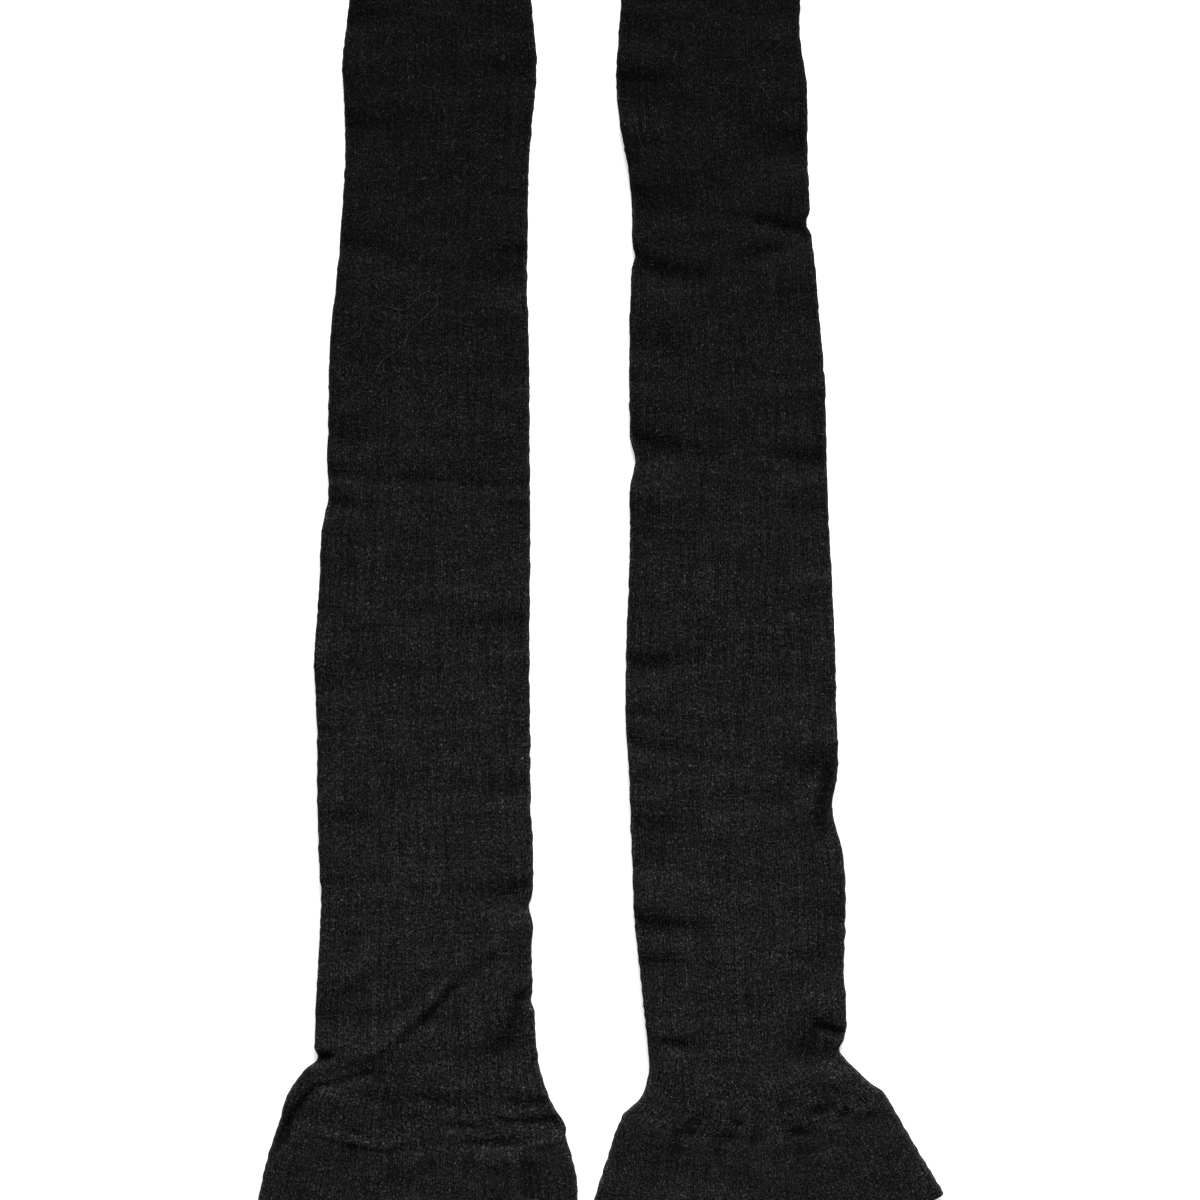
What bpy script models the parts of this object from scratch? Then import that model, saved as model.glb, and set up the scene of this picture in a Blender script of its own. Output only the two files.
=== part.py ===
"""A pair of over-the-calf socks, laid flat side by side, as they come off the leg.

Each sock is one knitted tube in four stretches: the welt, the leg, the foot with its heel
pocket, and the toe. The tube lies on its side, so its front and back are folds and its two
walls lie on each other. The welts lie towards -Y and the feet towards +Y, toes outwards.
Sizes are in millimetres until a point is placed. Places are first counted outwards from
the line midway between the socks and up from the lowest point of the welts. The finished
pair is then centred on the origin, with its underside at Z = 0.
"""
import math
from collections import namedtuple

import bmesh
import bpy
from mathutils import Vector

for old in list(bpy.data.objects):
    bpy.data.objects.remove(old, do_unlink=True)

MM = 0.001

# ---- cloth ----
WALL = 1.2            # thickness of the knitted wall
WELT_WALL = 1.5       # the welt's wall, which is turned and doubled
HALF_HOLLOW = 0.5     # half the space left between the two walls of the flattened tube
SEAM_GAP = 0.3        # between two stretches of one tube
CHARCOAL = (0.011, 0.011, 0.012)      # linear colour of the melange wool

# ---- foot ----
ANKLE = 438.0         # height where the leg ends and the heel begins to turn
BEND = 64.0           # degrees that the foot turns from the leg's line
INSTEP_RADIUS = 22.0  # inside of that turn
FOOT_RUN = 146.0      # straight stretch of the foot, after the turn
TOE_RUN = 48.0        # toe pocket
SOLE_WIDTH = 80.0     # flat width of the foot
BALL_WIDTH = 77.0     # flat width where the toe pocket is linked on
TIP_HALF = 13.0       # half the width of the toe's closed tip
TOE_POWER = 2.4       # how square the toe is: 2 is an ellipse

# ---- how finely each stretch is divided ----
EDGE_STEPS = 4        # round each fold edge
TOP_SPANS = 10        # across the upper wall
BOTTOM_SPANS = 4      # across the wall that lies on the table
WELT_SECTIONS = 8
LEG_STEP = 13.0       # usual spacing of the leg's sections
CLOSEST = 3.0         # least spacing of the leg's sections
HEEL_SECTIONS = 13
FOOT_SECTIONS = 5
TOE_SECTIONS = 8

# Sections of the welt and the leg. height: along the tube, at the near fold. near, far: the
# two folds, counted outwards. rise: how much higher the far fold is than the near one.
# sag: how much lower the middle of the knitted course hangs.
Row = namedtuple("Row", "height near far rise sag")
LEFT_ROWS = [
    Row(9.0, 2.0, 111.0, 7.0, 12.0),
    Row(30.0, 1.0, 106.4, 7.5, 10.0),
    Row(45.5, 4.7, 102.0, 5.5, 7.5),
    Row(49.5, 5.0, 101.0, 5.2, 7.3),
    Row(53.0, 7.2, 100.1, 4.8, 7.1),
    Row(57.0, 9.7, 98.6, 4.2, 6.8),
    Row(63.5, 12.2, 95.0, 3.0, 6.0),
    Row(72.0, 14.3, 90.9, 0.0, 4.0),
    Row(88.0, 15.5, 90.0, 0.0, 2.0),
    Row(104.0, 16.4, 89.0, 0.0, 1.0),
    Row(125.0, 16.1, 88.1, 0.0, 0.0),
    Row(143.0, 15.9, 88.9, 0.0, 0.0),
    Row(158.0, 16.7, 89.3, 0.0, 0.0),
    Row(183.0, 16.9, 89.4, 0.0, 0.0),
    Row(206.0, 17.2, 90.2, 0.0, 0.0),
    Row(234.0, 17.0, 88.6, 0.0, 0.0),
    Row(248.0, 16.9, 87.9, 0.0, 0.0),
    Row(285.0, 17.1, 85.7, 0.0, 0.0),
    Row(311.0, 17.3, 85.2, 0.0, 0.0),
    Row(333.0, 18.0, 83.1, 0.0, 0.0),
    Row(349.0, 17.8, 81.7, 0.0, 0.0),
    Row(377.0, 17.3, 79.9, 0.0, 0.0),
    Row(400.0, 15.3, 80.3, 0.0, 0.0),
    Row(411.0, 14.7, 80.8, 0.0, 0.0),
    Row(438.0, 17.3, 77.5, 0.0, 0.0),
]
RIGHT_ROWS = [
    Row(12.0, 1.0, 123.8, 14.0, 12.0),
    Row(33.5, 7.8, 113.2, 10.0, 12.0),
    Row(52.5, 14.3, 103.6, 7.5, 10.5),
    Row(55.0, 17.0, 102.0, 6.6, 10.0),
    Row(58.0, 20.1, 99.3, 5.2, 9.0),
    Row(64.5, 22.9, 94.1, 3.5, 7.0),
    Row(71.5, 23.4, 89.9, 1.5, 5.0),
    Row(85.0, 22.1, 90.6, 0.0, 2.5),
    Row(103.0, 20.2, 89.8, 0.0, 1.0),
    Row(119.0, 18.5, 90.3, 0.0, 0.0),
    Row(133.0, 17.9, 90.2, 0.0, 0.0),
    Row(146.0, 17.4, 88.9, 0.0, 0.0),
    Row(170.0, 16.6, 87.9, 0.0, 0.0),
    Row(187.0, 15.5, 87.3, 0.0, 0.0),
    Row(215.0, 15.8, 86.6, 0.0, 0.0),
    Row(234.0, 16.6, 85.6, 0.0, 0.0),
    Row(260.0, 17.1, 84.4, 0.0, 0.0),
    Row(289.0, 16.9, 83.6, 0.0, 0.0),
    Row(305.0, 16.7, 83.0, 0.0, 0.0),
    Row(343.0, 17.5, 79.6, 0.0, 0.0),
    Row(362.0, 17.6, 78.1, 0.0, 0.0),
    Row(377.0, 15.9, 77.5, 0.0, 0.0),
    Row(389.0, 13.7, 77.3, 0.0, 0.0),
    Row(404.0, 12.3, 77.0, 0.0, 0.0),
    Row(418.0, 13.0, 74.7, 0.0, 0.0),
    Row(438.0, 14.5, 75.2, 0.0, 0.0),
]
HEM_ROW = 0           # the first row is the welt's open end
JOIN_ROW = 2          # the row where the welt joins the leg

# Nips, where a crease pulls a fold edge in. depth is inwards; reach is half its length.
Nip = namedtuple("Nip", "height edge depth reach")
LEFT_NIPS = [
    Nip(72.0, "far", 1.6, 5.0),
    Nip(91.5, "near", 0.9, 3.6),
    Nip(123.5, "near", 1.2, 5.0),
    Nip(264.0, "far", 1.3, 14.0),
]
RIGHT_NIPS = [
    Nip(73.8, "far", 1.6, 4.5),
    Nip(157.0, "far", 2.6, 15.0),
    Nip(275.0, "near", 1.7, 9.0),
    Nip(345.0, "near", 1.2, 5.0),
    Nip(356.0, "far", 1.6, 5.0),
]

# Soft folds of the upper wall, each a low ridge from a to b. place is counted across the
# wall from the near fold; lift is the ridge's height and reach half its width.
Fold = namedtuple("Fold", "height_a place_a height_b place_b lift reach")
LEFT_FOLDS = [
    Fold(120.0, 5.0, 82.0, 46.0, 0.9, 10.0),
    Fold(82.0, 46.0, 72.0, 72.0, 0.9, 9.0),
    Fold(66.0, 76.0, 40.0, 98.0, 0.7, 7.0),
    Fold(50.0, 12.0, 42.0, 70.0, 0.6, 8.0),
]
RIGHT_FOLDS = [
    Fold(121.0, 2.0, 117.0, 25.0, 0.7, 9.0),
    Fold(172.0, 57.0, 148.0, 66.0, 0.7, 8.0),
    Fold(48.0, 14.0, 44.0, 72.0, 0.6, 8.0),
]

# The heel pocket: how much further than the ankle's width the heel fold lies from the
# instep, at shares of the foot's turn.
HeelRow = namedtuple("HeelRow", "turned pocket")
HEEL_ROWS = [
    HeelRow(0.00, 0.0),
    HeelRow(0.18, 0.5),
    HeelRow(0.38, 7.5),
    HeelRow(0.54, 16.5),
    HeelRow(0.63, 19.0),
    HeelRow(0.72, 13.2),
    HeelRow(0.82, 7.2),
    HeelRow(0.91, 3.0),
    HeelRow(1.00, 0.0),
]

Sock = namedtuple("Sock", "name side rows nips folds")
SOCKS = [
    Sock("left", -1, LEFT_ROWS, LEFT_NIPS, LEFT_FOLDS),
    Sock("right", 1, RIGHT_ROWS, RIGHT_NIPS, RIGHT_FOLDS),
]

# A section is where the tube is cut across: the plan points of its two folds, how much
# lower its middle hangs than the line between them, and its height on the welt or leg
# (None on the foot and toe, which have no soft folds).
Section = namedtuple("Section", "near far sag height")


def smooth(keys, values, at):
    """Read a smooth curve through a table's points (cubic, with averaged slopes)."""
    last = len(keys) - 1
    i = 0
    while i < last - 1 and at > keys[i + 1]:
        i += 1
    slopes = []
    for k in (i, i + 1):
        low, high = max(k - 1, 0), min(k + 1, last)
        slopes.append((values[high] - values[low]) / (keys[high] - keys[low]))
    span = keys[i + 1] - keys[i]
    t = (at - keys[i]) / span
    return ((2 * t ** 3 - 3 * t ** 2 + 1) * values[i]
            + (t ** 3 - 2 * t ** 2 + t) * span * slopes[0]
            + (3 * t ** 2 - 2 * t ** 3) * values[i + 1]
            + (t ** 3 - t ** 2) * span * slopes[1])


def hump(away):
    """A soft hump: 1 in the middle, 0 from a distance of 1 outwards."""
    return 0.5 + 0.5 * math.cos(math.pi * min(abs(away), 1.0))


def nip_depth(sock, edge, height):
    """How far the creases pull one fold edge in at a height."""
    return sum(nip.depth * hump((height - nip.height) / nip.reach)
               for nip in sock.nips if nip.edge == edge)


def tube_section(sock, height):
    """The section of the welt or leg whose near fold is at a height."""
    keys = [row.height for row in sock.rows]
    near, far, rise, sag = (smooth(keys, [getattr(row, column) for row in sock.rows], height)
                            for column in ("near", "far", "rise", "sag"))
    near += nip_depth(sock, "near", height)
    far -= nip_depth(sock, "far", height)
    return Section(Vector((near, height)), Vector((far, height + rise)), sag, height)


def turn_spoke(turned):
    """The plan direction of a section at a share of the foot's turn, towards the heel."""
    angle = math.radians(BEND) * turned
    return Vector((-math.cos(angle), math.sin(angle)))


def turn_centre(sock):
    """The centre of the foot's turn, outside the front of the ankle."""
    return tube_section(sock, ANKLE).far - turn_spoke(0.0) * INSTEP_RADIUS


def heel_section(sock, turned):
    """The section of the heel at a share of the foot's turn."""
    ankle = tube_section(sock, ANKLE)
    ankle_width = (ankle.far - ankle.near).length
    width = ankle_width + (SOLE_WIDTH - ankle_width) * turned
    width += smooth([row.turned for row in HEEL_ROWS],
                    [row.pocket for row in HEEL_ROWS], turned)
    instep = turn_centre(sock) + turn_spoke(turned) * INSTEP_RADIUS
    return Section(instep + turn_spoke(turned) * width, instep, 0.0, None)


def foot_section(sock, run, back=0.0):
    """The section of the foot or toe at a distance past the turn, set back if need be."""
    width = SOLE_WIDTH + (BALL_WIDTH - SOLE_WIDTH) * min(run / FOOT_RUN, 1.0)
    half = width / 2
    if run > FOOT_RUN:
        past = min((run - FOOT_RUN) / TOE_RUN, 1.0)
        half = TIP_HALF + (half - TIP_HALF) * (1 - past ** TOE_POWER) ** (1 / TOE_POWER)
    across = turn_spoke(1.0)
    ahead = Vector((across.y, -across.x))
    middle = turn_centre(sock) + ahead * (run - back) + across * (INSTEP_RADIUS + width / 2)
    return Section(middle + across * half, middle - across * half, 0.0, None)


def fold_lift(sock, height, place):
    """How much the soft folds lift the upper wall of the welt or leg at a place."""
    here = Vector((place, height))
    lift = 0.0
    for fold in sock.folds:
        start = Vector((fold.place_a, fold.height_a))
        line = Vector((fold.place_b, fold.height_b)) - start
        along = max(0.0, min(1.0, (here - start).dot(line) / line.length_squared))
        away = (here - start - line * along).length / fold.reach
        lift = max(lift, fold.lift * hump(away))
    return lift


def section_ring(sock, section, wall, radius):
    """The points of one surface of the wall round a section: its outside or its inside.

    Each fold edge is a half circle of the given radius, and the two walls between them are
    level, apart from the soft folds of the upper one. The lower one lies on the table.
    """
    chord = section.far - section.near
    width = chord.length
    thick = HALF_HOLLOW + wall
    flat = width - 2 * thick
    turns = [math.pi * (0.5 - k / EDGE_STEPS) for k in range(EDGE_STEPS + 1)]
    outline = [(thick - radius * math.cos(a), math.sin(a)) for a in turns]
    outline += [(thick + flat * k / BOTTOM_SPANS, -1.0) for k in range(1, BOTTOM_SPANS)]
    outline += [(width - thick + radius * math.cos(a), math.sin(a)) for a in reversed(turns)]
    outline += [(width - thick - flat * k / TOP_SPANS, 1.0) for k in range(1, TOP_SPANS)]
    points = []
    for place, level in outline:
        across = place / width
        plan = section.near + chord * across
        plan.y -= section.sag * 4 * across * (1 - across)
        z = thick + radius * level
        if level > 0 and section.height is not None:
            z += level * fold_lift(sock, section.height, place)
        points.append(Vector((sock.side * plan.x, plan.y, z)) * MM)
    return points


def knit_material(name):
    """Charcoal melange wool knit: dark, matt and not at all metallic."""
    material = bpy.data.materials.new(name + "_knit")
    material.use_nodes = True
    shader = material.node_tree.nodes["Principled BSDF"]
    shader.inputs["Base Color"].default_value = (*CHARCOAL, 1.0)
    shader.inputs["Roughness"].default_value = 0.95
    shader.inputs["Metallic"].default_value = 0.0
    return material


def make_stretch(sock, part, sections, wall=WALL, pocket=None):
    """One stretch of a sock: a wall that runs up outside, turns over and comes down inside.

    An open stretch joins at both its ends. A pocket is closed at its last section, and
    brings the sections of its inside.
    """
    outside = [section_ring(sock, s, wall, HALF_HOLLOW + wall) for s in sections]
    inside = [section_ring(sock, s, wall, HALF_HOLLOW) for s in pocket or sections]
    bm = bmesh.new()
    loops = [[bm.verts.new(point) for point in points] for points in outside[::-1] + inside]
    pairs = list(zip(loops, loops[1:]))
    if pocket:
        bm.faces.new(loops[0])
        bm.faces.new(loops[-1])
    else:
        pairs.append((loops[-1], loops[0]))
    for one, other in pairs:
        for i in range(len(one)):
            bm.faces.new((one[i - 1], one[i], other[i], other[i - 1]))
    bmesh.ops.recalc_face_normals(bm, faces=bm.faces)
    mesh = bpy.data.meshes.new(sock.name + "_" + part)
    bm.to_mesh(mesh)
    bm.free()
    mesh.shade_smooth()
    mesh.set_sharp_from_angle(angle=math.radians(50))
    mesh.materials.append(knit_material(mesh.name))
    stretch = bpy.data.objects.new(mesh.name, mesh)
    bpy.context.scene.collection.objects.link(stretch)
    return stretch


def evenly(start, end, count):
    """Evenly spaced places from start to end, both included."""
    return [start + (end - start) * k / (count - 1) for k in range(count)]


def leg_heights(sock, start, end):
    """The leg's section heights: its two ends, three at each nip, and even ones between."""
    nipped = [nip.height + nip.reach * k for nip in sock.nips for k in (0, -1, 1)]
    heights = [start, end]
    for height in nipped + evenly(start, end, round((end - start) / LEG_STEP) + 1):
        if start < height < end and all(abs(height - h) > CLOSEST for h in heights):
            heights.append(height)
    return sorted(heights)


def make_sock(sock):
    """The four stretches of one sock, from the welt to the toe."""
    gap = SEAM_GAP / 2
    hem = sock.rows[HEM_ROW].height
    join = sock.rows[JOIN_ROW].height
    welt = [tube_section(sock, h) for h in evenly(hem, join - gap, WELT_SECTIONS)]
    leg = [tube_section(sock, h) for h in leg_heights(sock, join + gap, ANKLE - gap)]
    turn_gap = gap / INSTEP_RADIUS / math.radians(BEND)
    foot = [heel_section(sock, t) for t in evenly(turn_gap, 1.0, HEEL_SECTIONS)]
    foot += [foot_section(sock, run) for run in evenly(0.0, FOOT_RUN - gap, FOOT_SECTIONS)[1:]]
    toe, toe_inside = [], []
    for turn in evenly(0.0, math.pi / 2, TOE_SECTIONS):
        run = FOOT_RUN + gap + (TOE_RUN - gap) * math.sin(turn)
        toe.append(foot_section(sock, run))
        toe_inside.append(foot_section(sock, run, back=WALL * math.sin(turn)))
    return [
        make_stretch(sock, "welt", welt, wall=WELT_WALL),
        make_stretch(sock, "leg", leg),
        make_stretch(sock, "foot", foot),
        make_stretch(sock, "toe", toe, pocket=toe_inside),
    ]


stretches = [stretch for sock in SOCKS for stretch in make_sock(sock)]
places = [vert.co for stretch in stretches for vert in stretch.data.vertices]
middle = [(min(p[axis] for p in places) + max(p[axis] for p in places)) / 2 for axis in (0, 1)]
for stretch in stretches:
    stretch.location = (-middle[0], -middle[1], 0.0)
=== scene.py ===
import math

import bmesh
import bpy
import numpy as np
from mathutils import Matrix, Vector


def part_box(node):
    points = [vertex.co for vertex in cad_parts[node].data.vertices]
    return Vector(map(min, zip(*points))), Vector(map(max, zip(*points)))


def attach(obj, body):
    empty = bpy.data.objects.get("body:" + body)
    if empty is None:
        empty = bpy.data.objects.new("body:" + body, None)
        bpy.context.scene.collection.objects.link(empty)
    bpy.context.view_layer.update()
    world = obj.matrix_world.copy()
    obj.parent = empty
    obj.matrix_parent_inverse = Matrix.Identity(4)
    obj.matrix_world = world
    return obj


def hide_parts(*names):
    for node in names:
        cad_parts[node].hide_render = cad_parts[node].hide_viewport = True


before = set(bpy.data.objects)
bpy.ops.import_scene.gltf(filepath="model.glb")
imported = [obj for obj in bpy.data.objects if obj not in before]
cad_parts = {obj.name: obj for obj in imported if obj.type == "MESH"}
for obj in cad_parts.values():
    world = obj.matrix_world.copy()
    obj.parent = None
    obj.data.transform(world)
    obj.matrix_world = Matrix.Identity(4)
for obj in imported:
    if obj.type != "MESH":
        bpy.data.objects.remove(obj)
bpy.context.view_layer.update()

# ---- Welts ----
# The welt is the broad band at the top of each sock: fine plain knit of melange wool, knitted
# first, turned over and linked down double. It has no rubber in it, so it has spread into a flare.

# Sizes are in millimetres, counted outwards from the line midway between the socks and up from
# just below the lowest point of the welts.
MM = 0.001
SIDES = {"left": -1, "right": 1}
# The tube's two folds from hem to ankle, because the leg goes on from the welt without a break:
# height at the near fold, near fold, far fold, how much higher the far fold is, and how much
# lower the middle of the knitted course hangs
OUTLINE = {
    "left": [
        (9.0, 2.0, 111.0, 7.0, 12.0), (30.0, 1.0, 106.4, 7.5, 10.0), (45.5, 4.7, 102.0, 5.5, 7.5),
        (49.5, 5.0, 101.0, 5.2, 7.3), (53.0, 7.2, 100.1, 4.8, 7.1), (57.0, 9.7, 98.6, 4.2, 6.8),
        (63.5, 12.2, 95.0, 3.0, 6.0), (72.0, 14.3, 90.9, 0.0, 4.0), (88.0, 15.5, 90.0, 0.0, 2.0),
        (104.0, 16.4, 89.0, 0.0, 1.0), (125.0, 16.1, 88.1, 0.0, 0.0), (143.0, 15.9, 88.9, 0.0, 0.0),
        (158.0, 16.7, 89.3, 0.0, 0.0), (183.0, 16.9, 89.4, 0.0, 0.0), (206.0, 17.2, 90.2, 0.0, 0.0),
        (234.0, 17.0, 88.6, 0.0, 0.0), (248.0, 16.9, 87.9, 0.0, 0.0), (285.0, 17.1, 85.7, 0.0, 0.0),
        (311.0, 17.3, 85.2, 0.0, 0.0), (333.0, 18.0, 83.1, 0.0, 0.0), (349.0, 17.8, 81.7, 0.0, 0.0),
        (377.0, 17.3, 79.9, 0.0, 0.0), (400.0, 15.3, 80.3, 0.0, 0.0), (411.0, 14.7, 80.8, 0.0, 0.0),
        (438.0, 17.3, 77.5, 0.0, 0.0),
    ],
    "right": [
        (12.0, 1.0, 123.8, 14.0, 12.0), (33.5, 7.8, 113.2, 10.0, 12.0),
        (52.5, 14.3, 103.6, 7.5, 10.5), (55.0, 17.0, 102.0, 6.6, 10.0),
        (58.0, 20.1, 99.3, 5.2, 9.0), (64.5, 22.9, 94.1, 3.5, 7.0), (71.5, 23.4, 89.9, 1.5, 5.0),
        (85.0, 22.1, 90.6, 0.0, 2.5), (103.0, 20.2, 89.8, 0.0, 1.0), (119.0, 18.5, 90.3, 0.0, 0.0),
        (133.0, 17.9, 90.2, 0.0, 0.0), (146.0, 17.4, 88.9, 0.0, 0.0), (170.0, 16.6, 87.9, 0.0, 0.0),
        (187.0, 15.5, 87.3, 0.0, 0.0), (215.0, 15.8, 86.6, 0.0, 0.0), (234.0, 16.6, 85.6, 0.0, 0.0),
        (260.0, 17.1, 84.4, 0.0, 0.0), (289.0, 16.9, 83.6, 0.0, 0.0), (305.0, 16.7, 83.0, 0.0, 0.0),
        (343.0, 17.5, 79.6, 0.0, 0.0), (362.0, 17.6, 78.1, 0.0, 0.0), (377.0, 15.9, 77.5, 0.0, 0.0),
        (389.0, 13.7, 77.3, 0.0, 0.0), (404.0, 12.3, 77.0, 0.0, 0.0), (418.0, 13.0, 74.7, 0.0, 0.0),
        (438.0, 14.5, 75.2, 0.0, 0.0),
    ],
}
# fold edge, height, how far a crease pulls it in, and half the length of that nip
NIPS = {
    "left": [
        ("far", 72.0, 1.6, 5.0), ("near", 91.5, 0.9, 3.6), ("near", 123.5, 1.2, 5.0),
        ("far", 264.0, 1.3, 14.0),
    ],
    "right": [
        ("far", 73.8, 1.6, 4.5), ("far", 157.0, 2.6, 15.0), ("near", 275.0, 1.7, 9.0),
        ("near", 345.0, 1.2, 5.0), ("far", 356.0, 1.6, 5.0),
    ],
}
HEM = {"left": 9.0, "right": 12.0}        # height of the open end
JOIN = {"left": 45.5, "right": 52.5}      # height of the join between welt and leg
HALF_HOLLOW = 0.5                         # half the space between the two walls
WELT_WALL = 1.5
WELT_WALES = 236                          # columns of stitches all the way round
WELT_RIB = 0.07                           # how far each column of stitches stands up
WELT_ROWS = {"outer": 94, "inner": 18}    # rows of the mesh on the outside and on the inside
THINNED = 0.3                             # how much thinner the wall gets, to meet the leg

# where those two lines run in the frame: the solids begin 1 mm and 0.25 mm from them
near_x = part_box("right_welt")[0].x / MM - 1.0
low_y = min(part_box(f"{sock}_welt")[0].y for sock in SIDES) / MM - 0.25


def in_frame(sock, points):
    """Places counted from the line between the socks, as millimetres of the frame."""
    return points * (SIDES[sock], 1, 1) + (near_x, low_y, 0)


def smooth(keys, values, at):
    """Read a smooth curve through a table's points: cubic, with averaged slopes."""
    keys, values = np.array(keys), np.array(values)
    last = len(keys) - 1
    low, high = np.maximum(np.arange(last + 1) - 1, 0), np.minimum(np.arange(last + 1) + 1, last)
    slopes = (values[high] - values[low]) / (keys[high] - keys[low])
    i = np.clip(np.searchsorted(keys, at) - 1, 0, last - 1)
    span = keys[i + 1] - keys[i]
    t = (at - keys[i]) / span
    return ((2 * t ** 3 - 3 * t ** 2 + 1) * values[i] + (t ** 3 - 2 * t ** 2 + t) * span * slopes[i]
            + (3 * t ** 2 - 2 * t ** 3) * values[i + 1] + (t ** 3 - t ** 2) * span * slopes[i + 1])


def ripples(seed, count, shortest, longest, height, lean):
    """Gentle unevenness: a sum of low waves. lean 0 runs them any way, 1 across the tube."""
    draw = np.random.default_rng(seed)
    long = np.exp(draw.uniform(math.log(shortest), math.log(longest), count))
    way = np.pi / 2 + (1 - lean) * draw.uniform(-np.pi / 2, np.pi / 2, count)
    start = draw.uniform(0, 2 * np.pi, count)

    def lift(x, y):
        total = np.zeros(x.shape)
        for wave, angle, phase in zip(long, way, start):
            total += np.sin((x * math.cos(angle) + y * math.sin(angle)) * 2 * np.pi / wave + phase)
        return total * height * math.sqrt(2 / count)
    return lift


EDGES = [("left", "near"), ("left", "far"), ("right", "near"), ("right", "far")]
WOBBLE = {
    edge: ripples(21 + k, count=30, shortest=3.0, longest=16.0, height=0.09, lean=1.0)
    for k, edge in enumerate(EDGES)
}


def fold_lines(sock, height):
    """Where the near and far folds of the welt and leg run, and how low the course hangs."""
    keys, near, far, rise, sag = zip(*OUTLINE[sock])
    near, far = smooth(keys, near, height), smooth(keys, far, height)
    for edge, middle, depth, reach in NIPS[sock]:
        nip = depth * (0.5 + 0.5 * np.cos(np.pi * np.clip((height - middle) / reach, -1, 1)))
        near, far = (near + nip, far) if edge == "near" else (near, far - nip)
    near = near + WOBBLE[sock, "near"](0 * height, height)
    far = far + WOBBLE[sock, "far"](0 * height, height)
    near = np.stack((near, height), 1)
    far = np.stack((far, height + smooth(keys, rise, height)), 1)
    return near, far, smooth(keys, sag, height)


def lay_tube(near, far, sag, turn, thick, radius):
    """Lay a knitted tube flat between its two folds, with a half circle at each fold edge.

    turn counts once round the tube from the middle of its underside, past the near fold at a
    quarter. thick is half the flat tube's thickness and radius that of the surface wanted.
    Returns the points, the way each faces, and how far inwards it lies from the nearer fold.
    """
    chord = far - near
    width = np.hypot(*chord.T)[:, None]
    thick, radius = np.reshape(thick, (-1, 1)), np.reshape(radius, (-1, 1))
    flat, arc = width - 2 * thick, np.pi * radius
    run = turn * 2 * (flat + arc)
    near_turn = np.clip((run - flat / 2) / radius, 0, np.pi)
    far_turn = np.clip((run - 1.5 * flat - arc) / radius, 0, np.pi)
    outwards = np.sin(far_turn) - np.sin(near_turn)
    level = np.cos(far_turn) - np.cos(near_turn) - 1
    place = (width / 2 - np.clip(run, 0, flat / 2) + np.clip(run - flat / 2 - arc, 0, flat)
             - np.clip(run - 1.5 * flat - 2 * arc, 0, flat / 2) + radius * outwards) / width
    x = near[:, :1] + chord[:, :1] * place
    y = near[:, 1:] + chord[:, 1:] * place - sag[:, None] * 4 * place * (1 - place)
    points = np.stack((x, y, thick + radius * level), 2)
    facing = np.stack((outwards * chord[:, :1] / width, outwards * chord[:, 1:] / width, level), 2)
    return points, facing, np.minimum(place, 1 - place) * width


def wale_turns(wales, fine, coarse=1):
    """Places round the tube: fine of them to a wale on top and round the folds, where the wales
    show, and one to every coarse wales underneath."""
    past_folds = 2.5
    turns = [0.0]
    wale = 0
    while wale < wales:
        on_top = wales / 4 - past_folds <= wale < wales * 3 / 4 + past_folds
        steps = fine if on_top else 1
        width = 1 if on_top else coarse
        turns += [(wale + width * (k + 1) / steps) / wales for k in range(steps)]
        wale += width
    return np.minimum(turns, 1.0)


def creased(x, y, creases):
    """How far a list of creases lifts the cloth. Each is a line of points across, up, lift and
    half width, a ridge where the lift is positive and a trough where it is negative."""
    total = np.zeros(x.shape)
    for crease in creases:
        nearest, lift = np.full(x.shape, np.inf), np.zeros(x.shape)
        for (xa, ya, lift_a, reach_a), (xb, yb, lift_b, reach_b) in zip(crease, crease[1:]):
            along = ((x - xa) * (xb - xa) + (y - ya) * (yb - ya)) / ((xb - xa) ** 2 + (yb - ya) ** 2)
            along = np.clip(along, 0, 1)
            away = np.hypot(x - xa - along * (xb - xa), y - ya - along * (yb - ya))
            away /= reach_a + (reach_b - reach_a) * along
            lift = np.where(away < nearest, lift_a + (lift_b - lift_a) * along, lift)
            nearest = np.minimum(away, nearest)
        total += lift * np.exp(-nearest ** 2)
    return total


PUFF = 1.5              # how far the air between the walls lifts the upper one
PUFF_REACH = 5.0        # how far in from a fold most of that lift is reached
FULL_SHADE_DEPTH = 1.5              # depth of a crease at which the shade painted into it is full
SHADE_IN_TUCKS = 3.5      # how much shade is painted into a tuck 1 mm deep; a deep crease counts 1
HIGHLIGHT_AT_FOLDS = 8.0      # how much highlight is painted along the folds, counted in the same way


def settle(sock, points, facing, inward, outside, uneven, creases, tucks, beneath):
    """How far each point of a laid tube's outer surface stands away from the plain shape, and
    how much shade is painted into its colour in creases and tucks, and highlight along the fold
    edges. Air between the walls lifts the upper one."""
    x, y, level = SIDES[sock] * points[..., 0], points[..., 1], facing[..., 2]
    puff = PUFF * (1 - np.exp(-np.clip(inward, 0, None) / PUFF_REACH))
    fold, tuck = creased(x, y, creases), creased(x, y, tucks)
    over = np.maximum(puff + uneven(x, y) + fold + tuck, -1.0) * np.clip(level, 0, 1)
    under = np.clip(creased(x, y, beneath), -0.8, 0) * np.clip(-level, 0, 1)
    # painted shade in creases and tucks; painted highlight, below 0, along the fold edges
    painted_shade_and_highlight = np.clip(-fold / FULL_SHADE_DEPTH, 0, 1) + SHADE_IN_TUCKS * np.clip(-tuck, 0, 1)
    painted_shade_and_highlight = painted_shade_and_highlight * np.clip(level, 0, 1) - HIGHLIGHT_AT_FOLDS * (1 - level ** 2) ** 0.75
    return (over + under) * outside[:, None], painted_shade_and_highlight * outside[:, None]


def wale_relief(turn, wales, facing, outside):
    """How the columns of stitches stand up: fully on top and round the folds, not underneath."""
    fading = np.clip(2 * facing[..., 2] + 2, 0, 1)
    return np.cos(turn * wales * 2 * np.pi) * (turn > 0.2) * fading * outside[:, None]


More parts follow.
